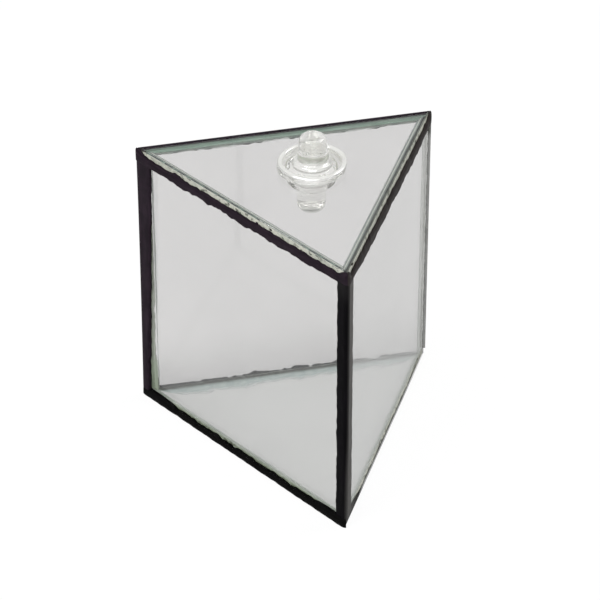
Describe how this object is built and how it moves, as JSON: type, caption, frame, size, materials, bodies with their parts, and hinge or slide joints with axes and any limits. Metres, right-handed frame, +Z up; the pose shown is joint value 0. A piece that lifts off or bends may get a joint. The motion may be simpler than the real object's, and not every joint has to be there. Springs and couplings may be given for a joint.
{
  "type": "hollow glass prism",
  "caption": "Hollow equilateral prism cell of cemented sheet glass with black sealed edges and a clear lift-out stopper, for refracting light through a liquid.",
  "frame": {"origin": "centroid of the triangular underside of the base plate", "axes": "+Z up along the prism's height, +Y towards the back window, so the front corner points to -Y and +X is to the right"},
  "size_m": [0.0776, 0.0676, 0.0856],
  "materials": {
    "glass": "clear drawn sheet glass with a faint green edge",
    "clear_cement": "clear cement, slightly green",
    "black_seal": "black sealing compound brushed on by hand",
    "clear_plastic": "clear polished moulding"
  },
  "bodies": {
    "cell": {"base_plate": "glass", "top_plate": "glass", "left_window": "glass", "right_window": "glass", "back_window": "glass", "base_cement": "clear_cement", "top_cement": "clear_cement", "left_corner_cement": "clear_cement", "front_corner_cement": "clear_cement", "right_corner_cement": "clear_cement", "left_corner_band": "black_seal", "front_corner_band": "black_seal", "right_corner_band": "black_seal", "top_left_band": "black_seal", "top_right_band": "black_seal", "top_back_band": "black_seal", "base_left_band": "black_seal", "base_right_band": "black_seal", "base_back_band": "black_seal"},
    "stopper": {"stopper": "clear_plastic"}
  },
  "joints": [
    {"name": "stopper_lift", "type": "slide", "parent": "cell", "child": "stopper", "axis": [0, 0, 1], "range_m": [0, 0.03]}
  ]
}
